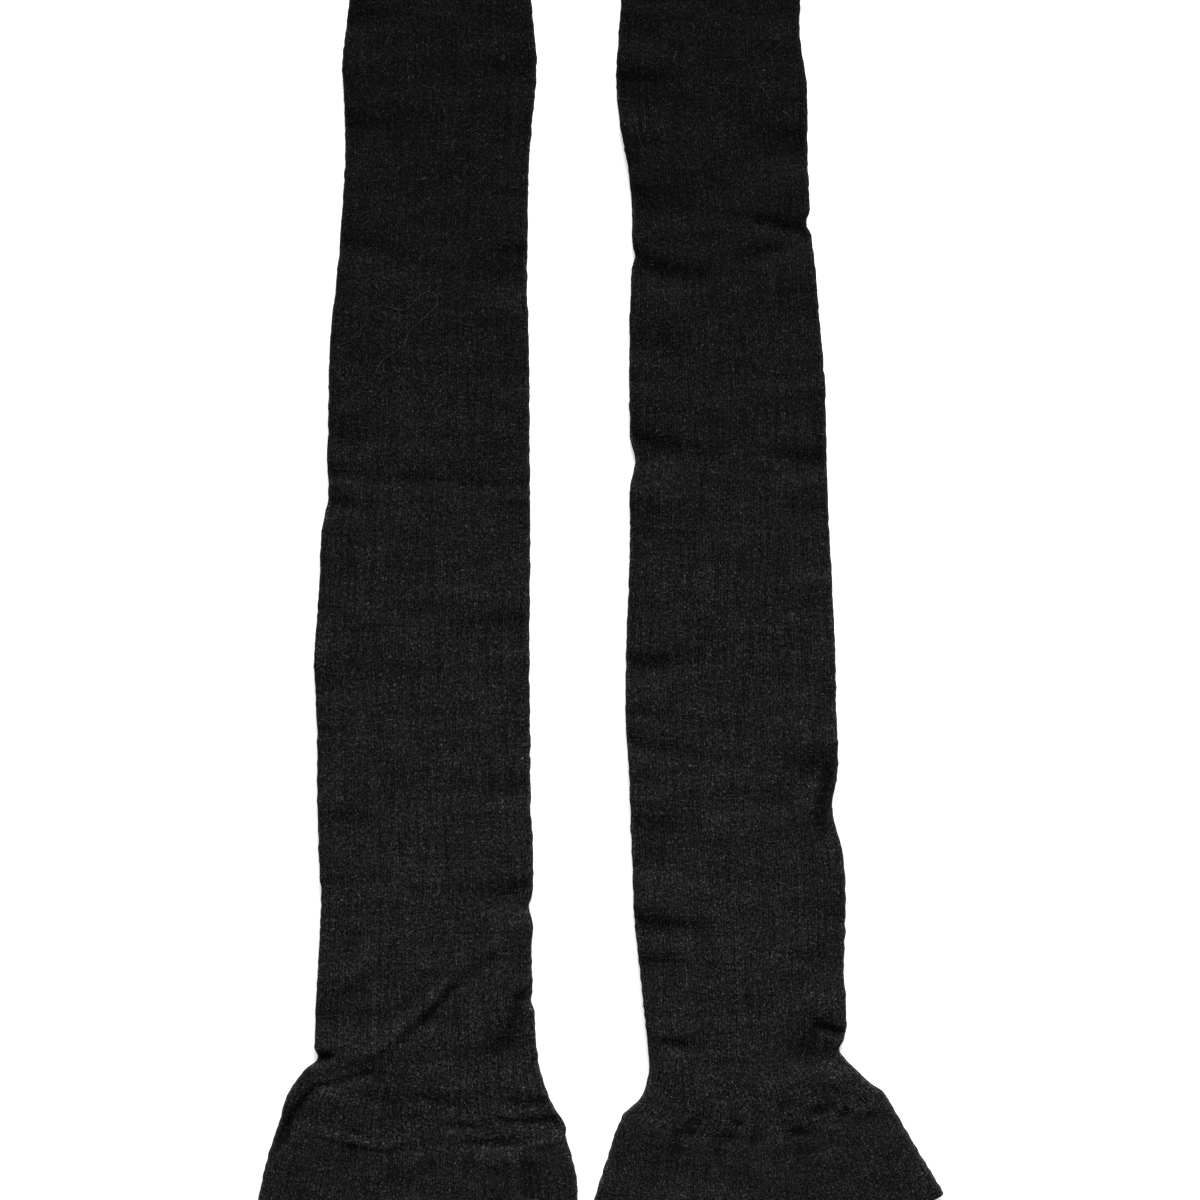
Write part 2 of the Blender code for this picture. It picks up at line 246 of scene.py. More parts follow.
def finish_piece(bm, mesh, material):
    """Turn a finished bmesh into a piece, in the material slot of the part it belongs to."""
    bmesh.ops.recalc_face_normals(bm, faces=bm.faces)
    bm.to_mesh(mesh)
    bm.free()
    mesh.shade_smooth()
    mesh.materials.append(material)
    piece = bpy.data.objects.new(mesh.name, mesh)
    bpy.context.scene.collection.objects.link(piece)
    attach(piece, "root")
    return piece


def knit_skin(sock, part, points, wales, lengths, painted_shade_and_highlight, material, pocket=False):
    """A knitted wall from a grid of courses and wales, closed round the tube. It runs up one
    surface and down the other; a pocket is closed across its end instead."""
    rows, columns = points.shape[:2]
    bm = bmesh.new()
    bmesh.ops.create_grid(bm, x_segments=columns - 1, y_segments=rows - 1, size=1.0)
    mesh = bpy.data.meshes.new(f"{sock}_{part}_knit")
    bm.to_mesh(mesh)
    mesh.vertices.foreach_set("co", (in_frame(sock, points) * MM).ravel())
    corners = np.empty(len(mesh.loops), int)
    mesh.loops.foreach_get("vertex_index", corners)
    # the two socks lie far apart in the pattern, so their specks and clumps differ
    wales = np.broadcast_to(wales + 300 * SIDES[sock], (rows, columns)).ravel()
    lengths = np.broadcast_to(lengths, (rows, columns)).ravel()
    uv = mesh.uv_layers.new(name="wales_and_length")
    uv.data.foreach_set("uv", np.stack((wales, lengths), 1)[corners].ravel())
    # painted shade of creases and tucks, and painted highlight of fold edges, for the material
    depth = mesh.attributes.new("painted_shade_and_highlight", "FLOAT", "POINT")
    depth.data.foreach_set("value", np.ascontiguousarray(painted_shade_and_highlight).ravel())
    bm.clear()
    bm.from_mesh(mesh)
    bmesh.ops.remove_doubles(bm, verts=[v for v in bm.verts if v.is_boundary], dist=0.002 * MM)
    if pocket:
        bmesh.ops.holes_fill(bm, edges=[e for e in bm.edges if e.is_boundary])
    skin = finish_piece(bm, mesh, material)
    mesh.set_sharp_from_angle(angle=math.radians(60))
    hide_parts(f"{sock}_{part}")
    return skin


def linear(code):
    """A hex colour in sRGB as the linear colour that a shader takes."""
    parts = [int(code[i:i + 2], 16) / 255 for i in (1, 3, 5)]
    return (*[p / 12.92 if p <= 0.04045 else ((p + 0.055) / 1.055) ** 2.4 for p in parts], 1.0)


def add_node(tree, kind, inputs=(), **settings):
    """Add a node with its settings; each input is a value, or the output it is linked to."""
    node = tree.nodes.new(kind)
    for name, value in settings.items():
        setattr(node, name, value)
    for name, value in dict(inputs).items():
        if isinstance(value, bpy.types.NodeSocket):
            tree.links.new(value, node.inputs[name])
        else:
            node.inputs[name].default_value = value
    return node


LOOP_LENGTH = 1.2       # one stitch along the tube, drawn a little coarse so that it shows
LOOP_SHADE = 0.2        # how much shade is painted between the loops


def melange_knit(name, rib_shade, light_at):
    """Melange wool yarn, black fibre with a little grey, knitted and washed so that it felts
    slightly: dark and matt, with worm-like fibre specks and a faint nap over the stitches.

    rib_shade is how much shade is painted between the ribs, and light_at two places along the tube
    with how pale the cloth is at each.
    """
    material = bpy.data.materials.new(name)
    material.use_nodes = True
    tree = material.node_tree
    shader = tree.nodes["Principled BSDF"]
    place = add_node(tree, "ShaderNodeUVMap", uv_map="wales_and_length").outputs["UV"]
    split = add_node(tree, "ShaderNodeSeparateXYZ", {0: place})

    def maths(operation, *values):
        node = add_node(tree, "ShaderNodeMath", dict(enumerate(values)), operation=operation)
        return node.outputs[0]

    # black and grey fibres lie over the loops in short curls, a third of a millimetre wide
    drawn = add_node(tree, "ShaderNodeMapping", {"Vector": place, "Scale": (2.0, 1.6, 1.0)})
    specks = add_node(tree, "ShaderNodeTexNoise", {
        "Vector": drawn.outputs[0], "Scale": 1.0, "Detail": 1.5, "Roughness": 0.8, "Distortion": 1.2,
    }, noise_dimensions="2D").outputs["Fac"]
    fibre = add_node(tree, "ShaderNodeValToRGB", {0: specks})
    stops = [
        (0.24, "#010101"), (0.39, "#060606"), (0.52, "#111111"), (0.65, "#252525"), (0.80, "#474747"),
    ]
    ramp = fibre.color_ramp
    while len(ramp.elements) < len(stops):
        ramp.elements.new(0.5)
    for element, (position, code) in zip(ramp.elements, stops):
        element.position = position
        element.color = linear(code)
    # painted shade: the furrows between the wales and between the loops are darker; the loops drift a
    # little
    drift = add_node(tree, "ShaderNodeTexNoise", {"Vector": place, "Scale": 0.12, "Detail": 2.0},
                     noise_dimensions="2D").outputs["Fac"]
    wander = maths("MULTIPLY_ADD", drift, 1.2, split.outputs["X"])
    ribs = maths("COSINE", maths("MULTIPLY", wander, 2 * math.pi))
    slant = maths("MULTIPLY_ADD", drift, 6.0, maths("PINGPONG", split.outputs["X"], 0.5))
    phase = maths("ADD", maths("DIVIDE", split.outputs["Y"], LOOP_LENGTH), slant)
    loops = maths("SINE", maths("MULTIPLY", phase, 2 * math.pi))
    shade = maths("MULTIPLY_ADD", ribs, rib_shade, 1.0)
    shade = maths("MULTIPLY_ADD", loops, LOOP_SHADE, shade)
    # clumps of fibre a few millimetres across; wales that take the light unevenly for a few
    # centimetres; and courses where the yarn happens to be spun darker or lighter
    for spread, scale, detail, depth in [
        ((0.6, 1.5, 1.0), 0.07, 5.0, 1.1),
        ((1.0, 0.05, 1.0), 0.8, 2.0, 1.4),
        ((0.05, 1.0, 1.0), 0.8, 2.0, 0.7),
    ]:
        drawn = add_node(tree, "ShaderNodeMapping", {"Vector": place, "Scale": spread})
        uneven = add_node(tree, "ShaderNodeTexNoise", {
            "Vector": drawn.outputs[0], "Scale": scale, "Detail": detail, "Roughness": 0.7,
        }, noise_dimensions="2D").outputs["Fac"]
        shade = maths("MULTIPLY_ADD", maths("SUBTRACT", uneven, 0.5), depth, shade)
    # long grey fibres that lie over the stitches in loose curves
    curves = add_node(tree, "ShaderNodeTexNoise", {
        "Vector": place, "Scale": 0.33, "Detail": 2.0, "Roughness": 0.5, "Distortion": 0.6,
    }, noise_dimensions="2D").outputs["Fac"]
    hairs = add_node(tree, "ShaderNodeMapRange", {
        "Value": maths("ABSOLUTE", maths("SUBTRACT", curves, 0.5)),
        "From Min": 0.0, "From Max": 0.012, "To Min": 1.0, "To Max": 0.0,
    }).outputs[0]
    shade = maths("MULTIPLY_ADD", hairs, 0.7, shade)
    # along the sock the cloth changes smoothly from one paleness to another between the places of
    # light_at
    light = add_node(tree, "ShaderNodeMapRange", {
        "Value": split.outputs["Y"], "From Min": light_at[0], "From Max": light_at[1],
        "To Min": light_at[2], "To Max": light_at[3],
    }, interpolation_type="SMOOTHSTEP").outputs[0]
    shade = maths("MULTIPLY", shade, light)
    # painted shade: darker in creases and tucks; painted highlight: paler along the fold edges,
    #     where the value is below 0
    painted_shade_and_highlight = add_node(tree, "ShaderNodeAttribute", attribute_name="painted_shade_and_highlight").outputs["Fac"]
    shade = maths("MULTIPLY", shade, maths("MULTIPLY_ADD", painted_shade_and_highlight, -0.15, 1.0))
    colour = add_node(tree, "ShaderNodeVectorMath", {0: fibre.outputs["Color"]}, operation="SCALE")
    tree.links.new(shade, colour.inputs["Scale"])
    tree.links.new(colour.outputs[0], shader.inputs["Base Color"])
    height = maths("MULTIPLY_ADD", loops, 0.25, maths("MULTIPLY", specks, 2.0))
    height = maths("MULTIPLY_ADD", ribs, 0.2, height)
    bump = add_node(tree, "ShaderNodeBump", {"Height": height, "Strength": 0.5, "Distance": 0.15 * MM})
    tree.links.new(bump.outputs[0], shader.inputs["Normal"])
    shader.inputs["Roughness"].default_value = 0.95
    shader.inputs["Specular IOR Level"].default_value = 0.025
    shader.inputs["Sheen Weight"].default_value = 0.05
    shader.inputs["Sheen Roughness"].default_value = 0.3
    return material


def spun_wool(name, dark, pale, grain):
    """Wool fibre or yarn seen by itself: matt, in greys that change along it. grain is about
    how many millimetres each grey lasts."""
    material = bpy.data.materials.new(name)
    material.use_nodes = True
    tree = material.node_tree
    shader = tree.nodes["Principled BSDF"]
    place = add_node(tree, "ShaderNodeTexCoord").outputs["Object"]
    mixed = add_node(tree, "ShaderNodeTexNoise", {
        "Vector": place, "Scale": 1 / (grain * MM), "Detail": 2.0,
    })
    greys = add_node(tree, "ShaderNodeValToRGB", {0: mixed.outputs["Fac"]})
    for element, position, code in zip(greys.color_ramp.elements, (0.35, 0.68), (dark, pale)):
        element.position = position
        element.color = linear(code)
    tree.links.new(greys.outputs["Color"], shader.inputs["Base Color"])
    shader.inputs["Roughness"].default_value = 0.8
    shader.inputs["Specular IOR Level"].default_value = 0.1
    return material


def join_rings(name, rings, material):
    """Threads as one piece, from the rings of points along each. A thread that ends where it
    begins closes on itself, and the others are closed at both ends."""
    count, steps = rings.shape[:2]
    sides = rings.shape[2] - 1
    bm = bmesh.new()
    bmesh.ops.create_grid(bm, x_segments=sides, y_segments=count * steps - 1, size=1.0)
    mesh = bpy.data.meshes.new(name)
    bm.to_mesh(mesh)
    mesh.vertices.foreach_set("co", (rings * MM).ravel())
    bm.clear()
    bm.from_mesh(mesh)
    # the faces that join the end of one thread to the start of the next
    between = [face for k, face in enumerate(bm.faces) if k // sides % steps == steps - 1]
    bmesh.ops.delete(bm, geom=between, context="FACES")
    bmesh.ops.remove_doubles(bm, verts=[v for v in bm.verts if v.is_boundary], dist=0.001 * MM)
    bmesh.ops.holes_fill(bm, edges=[e for e in bm.edges if e.is_boundary])
    return finish_piece(bm, mesh, material)


def lay_threads(name, paths, radius, sides, material):
    """Fine threads as one piece, each a tube along its path."""
    ahead = np.gradient(paths, axis=1)
    across = np.cross(ahead, (0.1, 0.2, 1.0))
    across /= np.linalg.norm(across, axis=2, keepdims=True)
    above = np.cross(across, ahead / np.linalg.norm(ahead, axis=2, keepdims=True))
    angle = np.linspace(0, 2 * np.pi, sides + 1)[:, None]
    ring = np.cos(angle) * across[:, :, None] + np.sin(angle) * above[:, :, None]
    return join_rings(name, paths[:, :, None] + radius * ring, material)


LOOSE_FIBRE = 0.02      # radius of a fibre that has worked loose, thick enough to show
loose_fibre = spun_wool("wool_fibre_worked_loose", "#161616", "#707070", grain=1.5)


def nap(sock, part, points, facing, count):
    """Fibre ends that have worked loose from the yarn. Most lie on the cloth in a slack curve;
    the rest stand out from the fold edges as a short fuzz."""
    draw = np.random.default_rng(count + SIDES[sock])
    level = facing[0, :, 2]
    flat, edge = np.flatnonzero(level > 0.9), np.flatnonzero(np.abs(level) < 0.9)
    at_edge = np.arange(count) % 5 < 2
    row = draw.integers(0, len(points), count)
    column = np.where(at_edge, draw.choice(edge, count), draw.choice(flat, count))
    root, out = points[row, column], facing[row, column]
    swept = np.cross(out, draw.normal(size=(count, 3)))
    swept /= np.linalg.norm(swept, axis=1, keepdims=True)
    bent = np.cross(out, swept)
    # length of each fibre, and how steeply it stands away from the cloth
    reach = np.where(at_edge, draw.uniform(0.4, 1.2, count), draw.uniform(1.2, 3.5, count))[:, None]
    rise = np.where(at_edge, draw.uniform(0.4, 1.0, count), draw.uniform(0.02, 0.12, count))[:, None]
    curl = draw.uniform(-0.5, 0.5, (count, 1))
    along = np.linspace(0, 1, 5)[:, None, None]
    paths = root + out * (rise * reach * along - 0.03) + reach * along * (swept + bent * curl * along)
    paths[..., 2] = np.maximum(paths[..., 2], 0.03)
    paths = in_frame(sock, paths.transpose(1, 0, 2))
    return lay_threads(f"{sock}_{part}_loose_fibres", paths, LOOSE_FIBRE, 3, loose_fibre)


# Creases of the upper wall, on welt and leg alike. The worn sock has dried with them, so each
# # has its own length, depth and slant; most start at a fold edge and die out inwards. Shade is
# # painted into their troughs.
CREASES = {
    "left": [
        # the long slanting fold above the welt: its crest, the shoulder below it and its hollows
        [(-88, 69, 0.2, 2), (-78, 71.5, 0.5, 2.2), (-70, 74.5, 0.7, 2.2), (-64, 78.5, 1.6, 2.4),
         (-59, 83, 2.0, 2.4), (-54, 88, 1.8, 2.2), (-47, 95, 1.2, 2.0), (-42, 101, 0.7, 2.2),
         (-34, 107, 0.5, 3), (-22, 113, 0.5, 3.4), (-14, 116, 0.5, 3.4)],
        [(-74, 69, 0, 4), (-63, 73, 0.8, 4.5), (-57, 78, 0.7, 4.5), (-51, 82, 0, 4)],
        [(-54, 82, 0, 2), (-50, 86, -0.6, 2.2), (-47, 89.5, -0.3, 2.2), (-42.5, 95, -0.7, 2.2),
         (-38, 101, -0.1, 2.2), (-30, 105, -0.4, 2.6), (-20, 109, 0, 3)],
        [(-69, 81, 0, 3), (-62, 86.5, -0.5, 3), (-55, 93, -0.5, 3), (-48, 100, 0, 3)],
        # the strip doubled over along the outer edge of the flare, and the gap beside it
        [(-91, 68.5, 0.6, 2), (-96.5, 61, 1.0, 1.8), (-99.5, 54, 0.8, 1.6), (-103, 45, 0.3, 1.4),
         (-106, 38, 0, 1.4)],
        [(-69, 67.5, 0, 1.6), (-73, 66.5, -1.1, 1.8), (-82, 63.8, -0.6, 1.2), (-89, 62.5, -1.0, 1.2),
         (-92, 60, -1.8, 1.4), (-94.6, 55.5, -2.4, 1.6), (-97.4, 50, -2.8, 2.0),
         (-100.4, 45.2, -2.4, 1.8), (-103, 41.5, -1.4, 1.4), (-106, 36, 0, 1.2)],
        [(-91, 70.5, -2.2, 1.6), (-86, 72.4, -2.0, 1.5), (-83, 73.6, 0, 1.3)],
        # the linked join, standing up as a fine cord, and the slack cloth above it
        [(-98, 49.8, 0.2, 1.1), (-92, 47.8, 0.5, 1.1), (-81, 44.9, 0.5, 1.2), (-73, 43, 0.5, 1.2),
         (-65, 42.2, 0.6, 1.2), (-58, 44.5, 0.3, 1.2), (-50, 46, 0, 1.2)],
        [(-46, 40.6, 0, 1), (-22, 41.4, 0.4, 1.1), (-12, 43.4, 0.7, 1.2), (-5, 45, 0.6, 1.2)],
        [(-80, 48.2, 0, 1.2), (-76.5, 47, -1.0, 1.3), (-72.5, 45.2, 0, 1.2)],
        [(-82, 42.5, 0, 1.6), (-77, 41.5, -0.4, 1.8), (-71, 40.5, 0, 1.6)],
        [(-5, 50, -1.6, 2.4), (-11, 50.5, -1.7, 2.6), (-17, 50.2, -1.0, 1.8), (-24, 50.6, -0.6, 1.6),
         (-32, 51.5, 0, 1.6)],
        [(-20, 53, 0, 1.4), (-24, 52.4, 0.6, 1.4), (-28, 54.4, 0.4, 1.4), (-32, 56, 0, 1.4)],
        [(-48, 49.5, 0, 1.6), (-40, 49, -0.6, 1.8), (-31, 47.6, -0.4, 1.8), (-26, 47, 0, 1.6)],
        [(-42, 43.5, 0, 2), (-34, 42.8, -0.9, 2.3), (-25, 42.4, -0.9, 2.2), (-18, 43.6, 0, 1.8)],
        [(-62, 58, 0, 1.6), (-53, 58, -0.9, 1.8), (-45, 56.6, -0.5, 1.8), (-38, 56, 0, 1.6)],
        [(-74, 59, 0, 2), (-66, 56.5, -0.6, 2.2), (-58, 54, 0, 2)],
        [(-68, 52, 0, 1.8), (-60, 51.6, -0.6, 1.8), (-50, 51, 0, 1.6)],
        [(-34, 57, 0, 2.4), (-22, 56.5, -0.6, 2.6), (-9, 57, -0.5, 2.4)],
        [(-26, 60, 0, 4), (-17, 60.5, 0.8, 4), (-10, 61, 0.6, 4)],
        # creases from the outer fold of the leg, lowest first
        [(-91, 86, -0.8, 4), (-80, 86.5, -0.7, 4), (-66, 87, 0, 4)],
        [(-86, 93, 0, 3), (-78, 98.5, 0.9, 3.2), (-72, 105, 1.0, 3), (-68, 111, 0, 3)],
        [(-90, 128, -0.5, 4), (-79, 129, -0.4, 3.6), (-68, 130, 0, 3.5)],
        [(-90, 151.5, -0.9, 4.2), (-79, 152, -1.2, 4.4), (-64, 152, 0, 4)],
        [(-91, 182, -0.6, 1.8), (-80, 183, -0.5, 2), (-70, 184, 0, 2)],
        [(-91, 196.5, -0.4, 4), (-79, 198, -0.4, 4), (-68, 199, 0, 4)],
        [(-92, 208, 0.9, 5), (-85, 208, 0.6, 5), (-78, 208, 0, 4)],
        [(-86, 225, 0, 4.4), (-79, 225, 1.0, 4.4), (-64, 226, 0, 4.4)],
        [(-91, 233, -0.5, 2), (-82, 233, 0, 2)],
        [(-90, 249, 0.8, 5), (-80, 249, 0.3, 5), (-72, 248, 0, 4)],
        [(-90, 260, -1.5, 3), (-80, 259.5, -1.3, 3), (-68, 257, 0, 3)],
        [(-90, 271, -0.9, 3), (-80, 269.5, -0.8, 3), (-68, 267.5, -0.7, 2.6), (-44, 267, -0.5, 2.4),
         (-30, 266, -0.6, 2.6), (-16, 265, -0.9, 3)],
        [(-88, 281.5, -0.8, 4.4), (-78, 281, -0.6, 4.4), (-66, 281, 0, 4)],
        [(-87, 302.5, -0.5, 4.6), (-77, 302, 0, 4.6)], [(-87, 314, -0.5, 2.2), (-79, 315, 0, 2.2)],
        [(-86, 323, 0.9, 6), (-74, 324, 0.9, 6), (-60, 324, 0, 5)],
        [(-84, 347, -0.8, 5), (-70, 345.5, -1.0, 5), (-56, 342, -0.6, 4.4), (-44, 342, 0, 4)],
        [(-84, 386, -1.1, 9), (-66, 385, -1.0, 9), (-44, 383, 0, 8)],
        [(-82, 388, -0.3, 2.6), (-70, 387, -0.3, 2.6), (-60, 386, 0, 2.6)],
        [(-82, 421, -1.3, 5), (-68, 423, -1.0, 5), (-54, 426, 0, 4)],
        [(-78, 440, -0.9, 2.6), (-62, 441, -0.7, 2.6), (-47, 440, 0, 2.6)],
        # and from its inner fold
        [(-14, 127, -2.3, 6.6), (-25, 127, -2.0, 6.6), (-36, 128, -0.8, 5.6), (-46, 129, 0, 4)],
        [(-15, 117, 0.6, 5), (-32, 117, 0, 5)], [(-16, 144, -0.4, 2.4), (-26, 144, 0, 2.4)],
        [(-15, 162, -1.4, 5), (-24, 162.5, -1.0, 5), (-33, 163, 0, 4)],
        [(-16, 181, -0.7, 5), (-26, 181, -0.5, 5), (-38, 182, 0, 5)],
        [(-16, 192, -0.5, 4), (-28, 193, 0, 4)],
        [(-16, 219, -0.9, 6), (-26, 216, -0.9, 6), (-36, 212, 0, 5)],
        [(-16, 208, 0.6, 3.4), (-30, 207, 0.3, 3.4), (-40, 206, 0, 3)],
        [(-16, 251, -0.5, 2.2), (-25, 250, 0, 2.2)],
        [(-16, 279, -0.6, 4.6), (-27, 278, -0.5, 4.6), (-40, 277, 0, 4)],
        [(-17, 302, -0.8, 5.4), (-26, 301, -0.4, 5.4), (-38, 300, 0, 5)],
        [(-22, 291, 0, 1.6), (-27, 291.5, -0.6, 1.8), (-33, 291, 0, 1.6)],
        [(-17, 325, 0.8, 5), (-27, 325, 0.7, 5), (-38, 326, 0, 4)],
        [(-17, 336.5, -2.0, 6.4), (-28, 336, -1.6, 6.4), (-42, 336, 0, 5)],
        [(-17, 345, -1.1, 2.6), (-27, 344.5, -0.6, 2.4), (-36, 344, 0, 2.2)],
        [(-16, 364.5, -0.5, 2.2), (-30, 365, -0.4, 2.2), (-38, 366, 0, 2)],
        [(-16, 386, -0.7, 5), (-27, 386, -0.5, 5), (-40, 386, 0, 5)],
        [(-13, 406, -1.4, 6.4), (-27, 405.5, -1.3, 6.4), (-42, 405, 0, 5.5)],
    ],
    "right": [
        # the soft hollow above the join, and the nip at the outer edge
        [(21, 52, 0, 3), (25, 48, 0.8, 3), (27, 41, 0, 3)],
        [(60, 66, 0, 3), (64, 62, 0.6, 3), (70, 59, 0, 3)],
        [(93, 71, -0.6, 4), (84, 72, -1.0, 4.2), (74, 72, -0.8, 4), (64, 72, 0, 4)],
        [(97, 59.5, 0, 4), (90, 64, 1.0, 4), (83, 66, 0.8, 4), (74, 66, 0, 4)],
        [(93, 79, -0.8, 1.7), (88, 80.6, -1.4, 1.8), (82.5, 82.2, -1.5, 1.8), (78.5, 84, 0, 1.5)],
        [(92, 103, -0.8, 5.2), (80, 103, -0.7, 5.2), (68, 103, 0, 5)],
        [(92, 119.5, -0.5, 3.8), (80, 120, -0.6, 3.8), (68, 120, 0, 3.8)],
        # creases from the outer fold of the leg, lowest first
        [(90, 148, -0.6, 4), (80, 150, -0.5, 3.6), (70, 151, 0, 3.4)],
        [(90, 170.5, -1.5, 3.6), (80, 169.5, -1.4, 4.0), (70, 171.5, -0.8, 3.6), (60, 173, 0, 3)],
        [(90, 180, 0.6, 3), (78, 179, 0.6, 3), (66, 180, 0, 2.8)],
        [(89, 193.5, -0.8, 4.2), (80, 193, 0, 4)],
        [(88, 236, 0.5, 5), (76, 234, 0.4, 5), (66, 233, 0, 4)],
        [(88, 256.5, -0.7, 3.8), (76, 256, -0.5, 3.8), (66, 255, 0, 3.8)],
        [(87, 273.5, -1.7, 3.8), (75, 274.5, -1.5, 3.6), (66, 276.5, -0.7, 3), (56, 278, 0, 3)],
        [(86, 300, 0.6, 2.6), (74, 299.5, 0.4, 2.6), (66, 299, 0, 2.6)],
        [(84, 337, 0.9, 6.5), (72, 338, 0.9, 6.5), (60, 337, 0, 5)],
        [(84, 351.5, -1.7, 3), (73, 353, -1.5, 3), (63, 354.5, -1.0, 3), (54, 356, 0, 2.6)],
        [(76, 348.5, -0.4, 2.6), (67, 346.5, -1.3, 3), (58, 343, -0.8, 3), (50, 341, 0, 3)],
        [(82, 379.5, -1.3, 5.4), (69, 380, -1.3, 5.4), (52, 381, 0, 5)],
        [(80, 390, 0.4, 3.4), (70, 390, 0.6, 3.6), (58, 389, 0, 3)],
        [(79, 413, 0.8, 4.6), (68, 417, 1.0, 5), (56, 419, 0, 5)],
        [(75.5, 441, -0.8, 2.6), (60, 443, -0.8, 2.6), (46, 445, 0, 2.6)],
        # and from its inner fold
        [(20, 72, -0.6, 4), (30, 73, -0.4, 3.6), (40, 75, 0, 3)],
        [(25, 77.5, 0, 2.2), (30, 76.8, -1.0, 2.4), (35, 76.2, -1.0, 2.4), (40, 75.6, 0, 2)],
        [(17, 103, -1.1, 4), (28, 104, -1.1, 4), (38, 105, 0, 3.6)],
        [(16, 115.5, -2.4, 4.6), (28, 115.5, -2.0, 4.6), (36, 116, -0.9, 3.6), (44, 117, 0, 3)],
        [(15, 141.5, -1.9, 9), (28, 141.5, -1.6, 9), (44, 142, 0, 8)],
        [(16, 151.5, -0.8, 3.6), (28, 150.5, -0.7, 3.4), (38, 150, 0, 3)],
        [(15, 163.5, -0.6, 3.6), (26, 164, -0.5, 3.6), (36, 165, 0, 3.6)],
        [(14, 179.5, -1.3, 3.4), (24, 176.5, -1.3, 3.6), (34, 175, -1.0, 3.6), (46, 176, 0, 3)],
        [(14, 188, -0.5, 2.4), (27, 188, -0.6, 2.4), (36, 188, 0, 2.4)],
        [(13, 205, -1.8, 4.2), (26, 204, -1.8, 4.2), (42, 205, 0, 3.6)],
        [(14, 224, -0.6, 3.6), (26, 225, -0.5, 3.6), (36, 226, 0, 3.6)],
        [(15, 262, 0.9, 6), (27, 262, 0.9, 6), (42, 262, 0, 5)],
        [(15, 279, -2.3, 6), (26, 278, -2.0, 6), (38, 276, -0.9, 5), (52, 274, 0, 4)],
        [(15, 302, -0.7, 2.6), (25, 302, -0.4, 2.6), (34, 302, 0, 2.6)],
        [(15, 312, -0.5, 3.8), (26, 312, -0.4, 3.8), (38, 312, 0, 3.6)],
        [(15, 324, 0.9, 6), (28, 324, 0.9, 6), (42, 324, 0, 5)],
        [(15, 341, -1.9, 5), (27, 337.5, -2.2, 5), (37, 336, -1.5, 4.4), (47, 336, 0, 4)],
        [(15, 361, -1.8, 7), (27, 361, -1.5, 7), (42, 361, 0, 6)],
        [(14, 375.5, -0.5, 2.2), (22, 375.5, 0, 2.2)],
        [(13, 385, 0.5, 4.4), (24, 385, 0.4, 4.4), (32, 385, 0, 4)],
        [(10, 399, -1.6, 8), (23, 398, -1.3, 8), (38, 398, 0, 7)],
        [(11, 404.5, -0.5, 2), (23, 404, -0.7, 2), (32, 403, 0, 2)],
        [(10, 421, -1.1, 4.6), (22, 420, -1.0, 4.8), (34, 420, 0, 4.6)],
    ],
}
